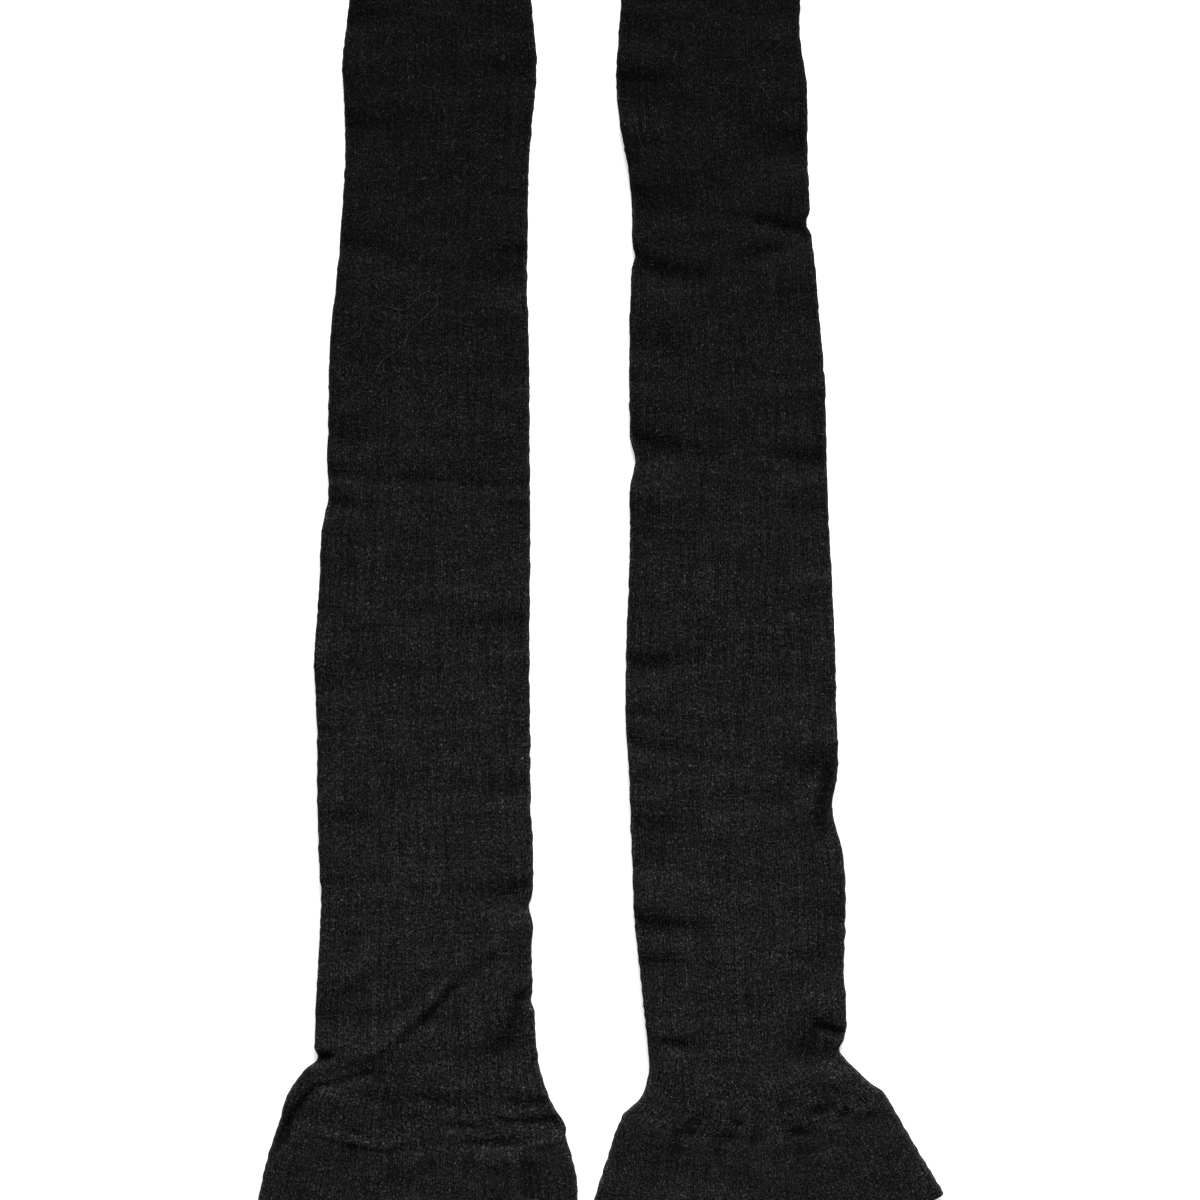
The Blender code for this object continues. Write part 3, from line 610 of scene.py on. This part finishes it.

# Tucks, where the cloth is gathered along its wales: in the wide welt right under the join, and
# # beside a pulled fold edge. The stitches close up in them, and strong shade is painted into them.
TUCKS = {
    "left": [
        [(-97, 52, 0, 1.6), (-100, 47.5, -1.0, 1.8), (-102.5, 43, -0.8, 1.6), (-105, 36, 0, 1.4)],
        [(-17, 95, -0.6, 2), (-21, 92, -1.3, 2.2), (-22, 86, -1.1, 2.4), (-24, 79, -1.1, 4),
         (-29, 74, -0.9, 4.5), (-36, 71, 0, 4)],
        [(-51, 40, 0, 1.8), (-50.5, 36.5, -0.55, 2), (-51.5, 31, 0, 2.2)],
        [(-37, 43, 0, 1.8), (-37.5, 37, -0.9, 1.8), (-38, 30, 0, 2)],
        [(-31, 35.5, 0, 1.4), (-28, 33.5, -0.6, 1.8), (-25, 32.5, 0, 1.6)],
        [(-78, 45, 0, 2.4), (-78, 40, -0.9, 3), (-81, 32, 0, 3.4)],
        [(-19, 40, 0, 2.4), (-18, 36, -0.8, 2.8), (-17, 30, -0.75, 3.4), (-17, 22, 0, 3.4)],
        [(-34, 42, 0, 2), (-33, 38.5, 0.8, 2), (-33, 34, 0, 2)],
        [(-25, 41, 0, 1.6), (-24.5, 38, 0.7, 1.6), (-24.5, 35, 0, 1.6)],
        [(-56, 41, 0, 1.6), (-56, 37, 0.8, 1.6), (-58, 31, 0, 2)],
    ],
    "right": [
        [(44, 54.5, 0, 1.8), (40, 51, -0.8, 2), (36, 48, -0.6, 1.8), (33, 45, -0.9, 2.2),
         (32, 40, -0.8, 3), (31, 33, 0, 3.2)],
        [(35, 47.2, 0, 1.2), (38, 46.8, -1.0, 1.2), (41, 47.5, 0, 1.2)],
        [(48.5, 49, 0, 2.4), (46.5, 45, -0.7, 2.4), (46, 40, -0.9, 2), (45.5, 33, 0, 2.2)],
        [(50, 49.5, 0, 1.3), (53.5, 49.8, -1.0, 1.3), (57, 49.5, 0, 1.3)],
        [(48, 47, 0, 1.8), (51, 45, -0.7, 2), (53, 43, 0, 1.8)],
        [(56, 42, 0, 1.6), (59, 43.5, -0.9, 1.8), (62.5, 45, 0, 1.6)],
        [(69, 45.5, 0, 1.8), (72, 46.4, -0.9, 2), (77, 46.8, -0.8, 1.8), (82, 48.5, 0, 1.8)],
        [(74, 45, -0.4, 3.4), (75, 40, -0.8, 3.8), (75, 31, 0, 4)],
        [(77, 53, 0, 1.8), (80, 54, -0.8, 1.9), (85, 55.4, -0.8, 2.1), (88, 55, 0, 1.8)],
        [(84, 50, 0, 1.2), (88, 50.6, -0.9, 1.4), (90, 53.5, -1.0, 1.5), (91, 56.5, 0, 1.4)],
        [(95, 53, 0, 1.8), (98, 52.5, -1.1, 2), (102, 54.5, 0, 1.8)],
        [(42, 46, 0, 1.6), (42.5, 41, 0.7, 1.8), (42.5, 36, 0, 1.8)],
        [(36, 43.5, 0, 1.8), (38, 40, 0.5, 1.8), (38, 36, 0, 1.8)],
        [(84, 53, 0, 1.4), (86, 51.5, 0.9, 1.5), (87, 47, 0, 1.6)],
        [(92, 57.5, 0, 1.4), (94, 55, 1.0, 1.6), (96, 50, 0, 1.8)],
        [(66, 48, 0, 1.6), (66.5, 44, 0.6, 1.7), (67, 37, 0, 2)],
        [(81, 84, -0.5, 2), (80, 79.5, -1.0, 2.8), (77, 76, -0.8, 4), (73.5, 70, 0, 4.2)],
        [(86, 172, 0, 1.6), (84, 167, -1.6, 2), (82.5, 160, -1.8, 2), (81.5, 152, -1.4, 2),
         (81.5, 142, 0, 1.8)],
    ],
}

# Creases of the lower wall, which the table presses flat: only troughs
BENEATH = {
    "left": [
        [(-92, 60, -0.5, 3), (-70, 66, -0.7, 3), (-45, 62, -0.4, 3), (-22, 68, 0, 3)],
        [(-86, 108, -0.6, 3), (-72, 112, -0.4, 3), (-58, 109, 0, 3)],
        [(-18, 152, -0.7, 3.5), (-34, 149, -0.5, 3), (-50, 152, 0, 3)],
        [(-88, 214, -0.6, 3.5), (-70, 216, -0.3, 3), (-60, 215, 0, 3)],
        [(-19, 281, -0.7, 3), (-38, 284, -0.4, 3), (-57, 280, 0, 3)],
        [(-82, 338, -0.6, 3), (-66, 335, 0, 3)], [(-18, 392, -0.6, 3.5), (-35, 395, 0, 3)],
        [(-96, 40, 0, 2), (-95, 30, -0.6, 2.5), (-97, 18, 0, 2)],
        [(-40, 40, 0, 2), (-41, 28, -0.6, 2.5), (-40, 16, 0, 2)],
    ],
    "right": [
        [(24, 62, -0.5, 3), (48, 58, -0.7, 3), (72, 64, -0.5, 3), (92, 66, 0, 3)],
        [(88, 98, -0.6, 3), (70, 102, -0.5, 3), (56, 99, 0, 3)],
        [(19, 138, -0.7, 3), (36, 141, -0.4, 3), (49, 139, 0, 3)],
        [(86, 204, -0.6, 3.5), (69, 201, -0.5, 3), (52, 205, 0, 3)],
        [(17, 251, -0.6, 3), (33, 250, 0, 3)],
        [(83, 307, -0.7, 3), (62, 310, -0.3, 3), (50, 308, 0, 3)],
        [(17, 377, -0.6, 3.5), (36, 374, -0.3, 3), (47, 376, 0, 3)],
        [(58, 42, 0, 2), (56, 30, -0.6, 2.5), (57, 17, 0, 2)],
        [(100, 50, 0, 2), (102, 38, -0.6, 2.5), (106, 26, 0, 2)],
    ],
}

welt_knit = melange_knit("melange_wool_plain_knit_welt", rib_shade=0.25,
                         light_at=(0.0, 1.0, 1.15, 1.15))
uneven = ripples(12, count=26, shortest=8, longest=60, height=0.08, lean=0.8)
turn = wale_turns(WELT_WALES, 3, coarse=2)
out_rows, in_rows = WELT_ROWS["outer"], WELT_ROWS["inner"]
for sock in SIDES:
    lip, join = HEM[sock] + WELT_WALL / 2, JOIN[sock]
    thick = HALF_HOLLOW + WELT_WALL
    around = np.linspace(0, np.pi, 7)[1:-1]
    height = np.concatenate((np.linspace(join, lip, out_rows), lip - WELT_WALL / 2 * np.sin(around),
                             np.linspace(lip, join, in_rows), [join]))
    radius = np.concatenate((np.full(out_rows, thick), thick - WELT_WALL / 2 * (1 - np.cos(around)),
                             np.full(in_rows, HALF_HOLLOW), [thick]))
    outside = radius > 1
    thin = THINNED * np.clip(1 - (join - height) / 5.0, 0, 1) ** 2
    near, far, sag = fold_lines(sock, height)
    points, facing, inward = lay_tube(near, far, sag, turn, thick - thin, radius - thin * outside)
    lift, painted_shade_and_highlight = settle(sock, points, facing, inward, outside, uneven,
                          CREASES[sock], TUCKS[sock], BENEATH[sock])
    lift += WELT_RIB * wale_relief(turn, WELT_WALES, facing, outside) * (turn < 0.8)
    points += lift[..., None] * facing
    welt = knit_skin(sock, "welt", points, turn * WELT_WALES, height[:, None], painted_shade_and_highlight, welt_knit)
    fibres = nap(sock, "welt", points[:out_rows], facing[:out_rows], count=260)

# ---- Legs ----
# The leg is the long over-the-calf tube, knitted in fine rib from the same yarn, straight on
# from the welt. Taken off the leg and laid down, its two walls lie on each other, and the
# upper one keeps the creases of wear at its fold edges.
ANKLE = 438.0           # height at which the heel begins
WALL = 1.2
LEG_WALES = 134         # ribs all the way round
RIB = 0.10              # how far each rib stands up
SLACK_TOP = 132.0       # up to here the cloth is creased more finely, so its rows are closer

# one long wool fibre, pulled out in a loop, lies over the left leg
PULLED = [
    (84.2, 289.0), (81.5, 291.0), (79.8, 294.3), (77.0, 296.8), (74.5, 298.0), (72.4, 300.0),
    (69.8, 304.2), (67.6, 308.0), (65.4, 310.3), (62.4, 312.0), (60.2, 313.7), (58.6, 316.2),
    (58.0, 318.6), (55.4, 321.0), (53.0, 323.2), (50.8, 325.2), (48.8, 327.4), (48.3, 329.6),
    (49.3, 331.6), (51.3, 332.2), (53.6, 331.4), (55.8, 329.4), (57.4, 327.4), (59.2, 326.3),
    (61.6, 326.1), (64.2, 326.9), (66.7, 327.4), (69.2, 327.0), (71.4, 325.4), (72.3, 322.8),
    (73.6, 320.2), (76.0, 317.6), (78.2, 315.6), (80.4, 314.6), (83.6, 314.2),
]
PULLED_RADIUS = 0.11
pulled_fibre = spun_wool("pale_wool_fibre_pulled_out", "#101010", "#303030", grain=4.0)


def lay_pulled_fibre(points, facing):
    """Lay the pulled fibre over the left leg's upper wall, resting on the nearest stitches."""
    at = np.linspace(0, len(PULLED) - 1, 140)
    path = np.stack([smooth(np.arange(len(PULLED)), places, at) for places in zip(*PULLED)], 1)
    top = points[facing[..., 2] > 0.3]
    nearest = [np.argmin(np.hypot(*(top[:, :2] - spot).T)) for spot in path]
    path = in_frame("left", np.column_stack((path, top[nearest, 2] + 0.05)))
    return lay_threads("left_leg_pulled_fibre", path[None], PULLED_RADIUS, 6, pulled_fibre)


leg_knit = melange_knit("melange_wool_rib_knit_leg", rib_shade=0.22,
                        light_at=(90.0, 440.0, 1.24, 0.43))
turn = wale_turns(LEG_WALES, 3)
for sock in SIDES:
    join = JOIN[sock]
    thick = HALF_HOLLOW + WALL
    outer = np.concatenate((np.linspace(join, SLACK_TOP, 111)[:-1], np.linspace(SLACK_TOP, ANKLE, 214)))
    # on the inside too the rows are closer beside the join, where the folds are nipped in
    inner = np.concatenate((np.linspace(ANKLE, 92, 22), np.linspace(88, join, 12)))
    height = np.concatenate((outer, inner, [join]))
    radius = np.concatenate((np.full(len(outer), thick), np.full(len(inner), HALF_HOLLOW), [thick]))
    outside = radius > 1
    near, far, sag = fold_lines(sock, height)
    points, facing, inward = lay_tube(near, far, sag, turn, thick, radius)
    lift, painted_shade_and_highlight = settle(sock, points, facing, inward, outside, uneven,
                          CREASES[sock], TUCKS[sock], BENEATH[sock])
    lift += RIB * wale_relief(turn, LEG_WALES, facing, outside) * (turn < 0.8)
    points += lift[..., None] * facing
    leg = knit_skin(sock, "leg", points, turn * LEG_WALES, height[:, None], painted_shade_and_highlight, leg_knit)
    shown, ways = points[:len(outer)], facing[:len(outer)]
    on_leg = [nap(sock, "leg", shown, ways, count=1300)]
    if sock == "left":
        on_leg.append(lay_pulled_fibre(shown, ways))

# ---- Feet ----
# The foot is knitted on from the leg, its instep half still in rib and its sole half plain. The
# heel is turned with short rows, knitted back and forth, which fan out into a pocket and meet
# in a gore line from the side of the ankle to the point of the heel.
BEND = 64.0             # degrees that the foot turns from the leg's line
INSTEP_RADIUS = 22.0    # inside of that turn
FOOT_RUN = 146.0        # straight stretch of the foot, after the turn
TOE_RUN = 48.0          # toe pocket
SOLE_WIDTH = 80.0
BALL_WIDTH = 77.0       # flat width where the toe pocket goes on
TIP_HALF = 13.0         # half the width of the toe's closed tip
TOE_POWER = 2.4         # how square the toe is
GORE = 0.63             # share of the turn at which the heel's gore lies
GORE_RIDGE = 0.3        # how far the gore stands up
PLAIN_WALE = 0.03       # how far the columns of plain stitches stand up
# rows of the mesh on the outside, round the heel and on along the foot, and on the inside
HEEL_ROWS, FOOT_ROWS, FOOT_INNER_ROWS = 60, 62, 16
# how much further out than a plain bend the heel fold lies, at shares of the turn
POCKET = [
    (0.00, 0.0), (0.18, 0.5), (0.38, 7.5), (0.54, 16.5), (0.63, 19.0), (0.72, 13.2),
    (0.82, 7.2), (0.91, 3.0), (1.00, 0.0),
]


def foot_lines(sock, turned, run, back=0.0):
    """Where the sole fold and the instep fold run, at shares of the heel's turn and then at
    distances past it."""
    near, far, sag = fold_lines(sock, np.array([ANKLE]))
    ankle_width = far[0, 0] - near[0, 0]
    centre = far[0] + (INSTEP_RADIUS, 0.0)
    angle = np.radians(BEND) * turned
    spoke = np.stack((-np.cos(angle), np.sin(angle)), 1)
    ahead = np.stack((np.sin(angle), np.cos(angle)), 1)
    keys, pocket = zip(*POCKET)
    width = ankle_width + (SOLE_WIDTH - ankle_width) * turned + smooth(keys, pocket, turned)
    width += (BALL_WIDTH - SOLE_WIDTH) * np.minimum(run / FOOT_RUN, 1)
    past = np.clip((run - FOOT_RUN) / TOE_RUN, 0, 1)
    half = TIP_HALF + (width / 2 - TIP_HALF) * (1 - past ** TOE_POWER) ** (1 / TOE_POWER)
    middle = centre + ahead * (run - back)[:, None] + spoke * (INSTEP_RADIUS + width / 2)[:, None]
    # the slack fold edges waver more than the leg's do, from the ankle to the tip
    along = ANKLE + 90 * turned + run
    loose = 1.6 * np.clip(4 * turned, 0, 1) * (1 - past)
    sole = half + loose * WOBBLE[sock, "near"](0 * along, along)
    instep = half + loose * WOBBLE[sock, "far"](0 * along, along)
    return middle + spoke * sole[:, None], middle - spoke * instep[:, None]


def course_lengths(points):
    """How far along the tube each point lies, measured over the cloth itself."""
    steps = np.linalg.norm(np.diff(points, axis=0), axis=2)
    return np.concatenate((np.zeros((1, points.shape[1])), np.cumsum(steps, axis=0)))


# Creases of the foot: most fan out from the inside of its bend, where the cloth is slack
FOOT_CREASES = {
    "left": [
        [(-79.5, 446, -0.8, 2.4), (-66, 452, -0.8, 2.6), (-54, 458, 0, 2.6)],
        [(-83, 453, -1.0, 2.4), (-73, 462, -0.7, 2.6), (-66, 471, 0, 2.6)],
        [(-90, 459, -0.7, 2.6), (-84, 469, -0.5, 2.6), (-80, 478, 0, 2.8)],
        [(-119, 475, -0.7, 3), (-112, 489, -0.4, 3), (-108, 499, 0, 3)],
        [(-165, 497, -0.6, 3), (-158, 510, 0, 3)],
        [(-112, 556, -0.7, 3), (-117, 542, -0.4, 3), (-121, 533, 0, 3)],
        [(-62, 512, 0, 5), (-92, 515, 0.5, 5), (-122, 528, 0.4, 5), (-145, 540, 0, 5)],
        [(-20, 486, -0.6, 3), (-33, 484, -0.4, 3), (-44, 480, 0, 3)],
        [(-160, 580, -0.5, 3), (-166, 567, 0, 3)],
        [(-190, 520, -0.6, 3), (-184, 534, -0.3, 3), (-182, 542, 0, 3)],
    ],
    "right": [
        [(77, 447, -0.9, 2.4), (64, 453, -0.6, 2.6), (52, 457, 0, 2.6)],
        [(81, 453, -0.8, 2.4), (70, 462, -0.9, 2.6), (61, 470, 0, 2.6)],
        [(86, 457, -0.9, 2.6), (79, 469, -0.4, 2.6), (76, 476, 0, 2.8)],
        [(112, 471, -0.6, 3), (106, 484, -0.5, 3), (101, 493, 0, 3)],
        [(148, 488, -0.8, 3), (142, 501, -0.4, 3), (140, 509, 0, 3)],
        [(96, 549, -0.6, 3), (102, 534, 0, 3)],
        [(58, 507, 0, 5), (88, 508, 0.4, 5), (114, 520, 0.5, 5), (138, 531, 0, 5)],
        [(16, 490, -0.7, 3), (29, 487, -0.3, 3), (38, 484, 0, 3)],
        [(150, 574, -0.6, 3), (157, 560, -0.3, 3), (161, 552, 0, 3)],
        [(182, 505, -0.5, 3), (177, 517, 0, 3)],
    ],
}
FOOT_BENEATH = {
    "left": [
        [(-70, 446, -0.7, 3), (-55, 452, -0.5, 3), (-42, 455, 0, 3)],
        [(-100, 480, -0.6, 3), (-92, 498, 0, 3)], [(-120, 556, -0.6, 3), (-125, 540, 0, 3)],
        [(-160, 505, -0.6, 3), (-152, 524, 0, 3)],
    ],
    "right": [
        [(76, 450, -0.7, 3), (60, 460, -0.5, 3), (50, 468, 0, 3)],
        [(120, 482, -0.6, 3), (113, 500, 0, 3)], [(88, 545, -0.6, 3), (95, 530, 0, 3)],
        [(168, 508, -0.6, 3), (160, 525, 0, 3)],
    ],
}

foot_knit = melange_knit("melange_wool_knit_foot", rib_shade=0.22, light_at=(0.0, 1.0, 0.43, 0.43))
turn = wale_turns(LEG_WALES, 3)
turned = np.concatenate((np.linspace(0, 1, HEEL_ROWS), np.ones(FOOT_ROWS)))
run = np.concatenate((np.zeros(HEEL_ROWS), np.linspace(0, FOOT_RUN, FOOT_ROWS + 1)[1:]))
rows = HEEL_ROWS + FOOT_ROWS
# the mesh runs up the outside over every row and down the inside over a few of them
back = np.linspace(rows - 1, 0, FOOT_INNER_ROWS).astype(int)
order = np.concatenate((np.arange(rows), back, [0]))
for sock in SIDES:
    thick = HALF_HOLLOW + WALL
    radius = np.concatenate((np.full(rows, thick), np.full(len(back), HALF_HOLLOW), [thick]))
    outside = radius > 1
    sole, instep = foot_lines(sock, turned[order], run[order])
    points, facing, inward = lay_tube(sole, instep, 0 * run[order], turn, thick, radius)
    lift, painted_shade_and_highlight = settle(sock, points, facing, inward, outside, uneven,
                          CREASES[sock] + FOOT_CREASES[sock], [], FOOT_BENEATH[sock])
    # rib over the instep half, plain knit on the heel and sole half, and the gore between them
    ribbed = np.clip((turn - 0.5) * 40, 0, 1) * (turn < 0.8)
    relief = wale_relief(turn, LEG_WALES, facing, outside)
    lift += (PLAIN_WALE + (RIB - PLAIN_WALE) * ribbed) * relief
    gore = np.exp(-((turned[order][:, None] - GORE) * 40 * (1.3 - turn * 2)) ** 2)
    gore *= np.clip((0.47 - turn) * 15, 0, 1) * (turn > 0.03) * outside[:, None]
    lift += GORE_RIDGE * gore * np.clip(facing[..., 2], 0, 1)
    points += lift[..., None] * facing
    lengths = course_lengths(points[:rows])[order]
    foot = knit_skin(sock, "foot", points, turn * LEG_WALES, lengths, painted_shade_and_highlight, foot_knit)
    fibres = nap(sock, "foot", points[:rows], facing[:rows], count=700)

# ---- Toes ----
# The toe is a plain knitted pocket that is narrowed at both sides, and its last stitches are
# linked across the tip in a small overcast seam, the only seam of the sock.
TOE_ROWS = {"outer": 26, "inner": 8}
PUCKERS = 22            # all the way round the tip, where the seam draws the cloth up
PUCKER_DEPTH = 0.22
LINKING_YARN = 0.25     # radius of the yarn
STITCHES = 40
LOOP_RADIUS = 0.62      # radius of each stitch round the tip
LOOP_STEPS = 14         # points round each stitch
YARN_SIDES = 6
SEAM_INSET = 0.45       # how far the middle of the seam lies back from the tip
LEAN = 0.45             # how far each stitch leans along the tip, in radians

toe_knit = melange_knit("melange_wool_plain_knit_toe", rib_shade=0.15,
                        light_at=(0.0, 1.0, 0.43, 0.43))
linking_yarn = spun_wool("melange_wool_linking_yarn", "#080808", "#2c2c2c", grain=0.6)
turn = wale_turns(LEG_WALES, 2)
out_rows, in_rows = TOE_ROWS["outer"], TOE_ROWS["inner"]
bend = np.concatenate((np.linspace(np.pi / 2, 0, out_rows), np.linspace(0, np.pi / 2, in_rows)))
past = np.sin(bend)
run = FOOT_RUN + TOE_RUN * past
outside = np.arange(len(run)) < out_rows
# the tube thins towards the closed tip, and less air is left between its walls
slim = 1 - 0.6 * past ** 5
# one linked stitch is a loop of yarn round the tip
round_tip = np.linspace(0, 2 * np.pi, LOOP_STEPS + 1)[:, None]
round_yarn = np.linspace(0, 2 * np.pi, YARN_SIDES + 1)
away = LOOP_RADIUS + LINKING_YARN * np.cos(round_yarn)
stitch = np.stack((LINKING_YARN * np.sin(round_yarn) + 0 * round_tip, away * np.cos(round_tip),
                   away * np.sin(round_tip)), 2)
for sock in SIDES:
    thick = (HALF_HOLLOW + WALL) * slim
    radius = np.where(outside, thick, HALF_HOLLOW * slim)
    sole, instep = foot_lines(sock, np.ones(len(run)), run, WALL * past * ~outside)
    points, facing, inward = lay_tube(sole, instep, 0 * run, turn, thick, radius)
    lift, painted_shade_and_highlight = settle(sock, points, facing, inward, outside, uneven, [], [], [])
    lift *= (1 - past ** 4)[:, None]
    # the linked stitches draw the cloth up into small puckers
    upper = np.clip(facing[..., 2], 0, 1) * outside[:, None]
    drawn_up = 0.5 + 0.5 * np.cos(turn * PUCKERS * 2 * np.pi)
    lift -= PUCKER_DEPTH * drawn_up * upper * past[:, None] ** 8
    lift += PLAIN_WALE * np.cos(turn * LEG_WALES * 2 * np.pi) * upper
    points += lift[..., None] * facing
    lengths = np.tile(run[:, None], len(turn))
    toe = knit_skin(sock, "toe", points, turn * LEG_WALES, lengths, painted_shade_and_highlight, toe_knit, pocket=True)
    fibres = nap(sock, "toe", points[:out_rows], facing[:out_rows], count=160)
    # the linked stitches lie side by side along the tip, each leaning over the next
    tip = (sole[0] - instep[0]) / STITCHES
    back_from_tip = np.array((-tip[1], tip[0])) / np.hypot(*tip)
    spots = instep[0] + tip * (np.arange(STITCHES)[:, None] + 0.5) + SEAM_INSET * back_from_tip
    clear_of_table = LOOP_RADIUS + LINKING_YARN + 0.01
    spots = np.column_stack((spots, np.full(STITCHES, clear_of_table)))
    heading = np.array(Matrix.Rotation(-math.atan2(tip[1], tip[0]) - LEAN, 3, "Z"))
    rings = in_frame(sock, spots[:, None, None] + stitch @ heading)
    seam = join_rings(f"{sock}_toe_linked_seam", rings, linking_yarn)

# ---- Table, light and camera ----
# The pair lies on a plain white table in a white room. One large soft box beyond the feet
# lights it, and it is seen from straight above through a long lens.


def seen_itself(tree):
    """1 for rays that show a surface to the camera, 0 for those that only light the socks."""
    rays = add_node(tree, "ShaderNodeLightPath").outputs
    seen = add_node(tree, "ShaderNodeMath", {0: rays["Is Camera Ray"], 1: rays["Is Glossy Ray"]},
                    operation="MAXIMUM").outputs[0]
    return add_node(tree, "ShaderNodeMath", {0: seen, 1: rays["Is Transmission Ray"]},
                    operation="MAXIMUM").outputs[0]


table_paint = bpy.data.materials.new("white_table_paint")
table_paint.use_nodes = True
tree = table_paint.node_tree
tree.nodes.remove(tree.nodes["Principled BSDF"])
# it lights the socks as pale paint does, and is seen as plain white with their soft shadows
plain = add_node(tree, "ShaderNodeBsdfDiffuse", {"Color": linear("#e6e6e4")})
white = add_node(tree, "ShaderNodeBsdfDiffuse", {"Color": (0.7, 0.7, 0.7, 1)})
glow = add_node(tree, "ShaderNodeEmission", {"Color": (1, 1, 1, 1), "Strength": 0.55})
lifted = add_node(tree, "ShaderNodeAddShader", {0: white.outputs[0], 1: glow.outputs[0]})
mix = add_node(tree, "ShaderNodeMixShader", {
    0: seen_itself(tree), 1: plain.outputs[0], 2: lifted.outputs[0],
})
tree.links.new(mix.outputs[0], tree.nodes["Material Output"].inputs["Surface"])
bm = bmesh.new()
bmesh.ops.create_grid(bm, x_segments=8, y_segments=8, size=3.0)
# just clear of the lowest stitches
bmesh.ops.translate(bm, verts=bm.verts, vec=(0, 0, -0.05 * MM))
table_mesh = bpy.data.meshes.new("table_top")
bm.to_mesh(table_mesh)
bm.free()
table_mesh.materials.append(table_paint)
table = bpy.data.objects.new("table_top", table_mesh)
bpy.context.scene.collection.objects.link(table)

world = bpy.data.worlds.new("soft_white_room")
world.use_nodes = True
tree = world.node_tree
strength = add_node(tree, "ShaderNodeMapRange", {
    "Value": seen_itself(tree), "To Min": 0.22, "To Max": 1.0,
})
background = tree.nodes["Background"]
background.inputs["Color"].default_value = (1, 1, 1, 1)
tree.links.new(strength.outputs[0], background.inputs["Strength"])
bpy.context.scene.world = world


def soft_lamp(name, place, size, power):
    """A square soft box aimed at the middle of the pair."""
    data = bpy.data.lights.new(name, "AREA")
    data.size = size
    data.energy = power
    lamp = bpy.data.objects.new(name, data)
    lamp.location = place
    lamp.rotation_euler = (-Vector(place)).to_track_quat("-Z", "Y").to_euler()
    bpy.context.scene.collection.objects.link(lamp)


soft_lamp("key_soft_box", place=(0.28, 2.2, 1.15), size=1.2, power=178.0)

FRAME_WIDTH = 408.0     # what the camera takes in at the level of the cloth
AIM = (6.8, 227.8, 1.7)  # middle of the view, on the cloth
LENS = 85.0
SENSOR = 36.0
view = bpy.data.cameras.new("camera_overhead")
view.lens = LENS
view.sensor_width = SENSOR
camera = bpy.data.objects.new("camera_overhead", view)
above = (near_x + AIM[0], low_y + AIM[1], AIM[2] + FRAME_WIDTH * LENS / SENSOR)
camera.location = Vector(above) * MM
bpy.context.scene.collection.objects.link(camera)
bpy.context.scene.camera = camera
bpy.context.scene.view_settings.view_transform = "Standard"
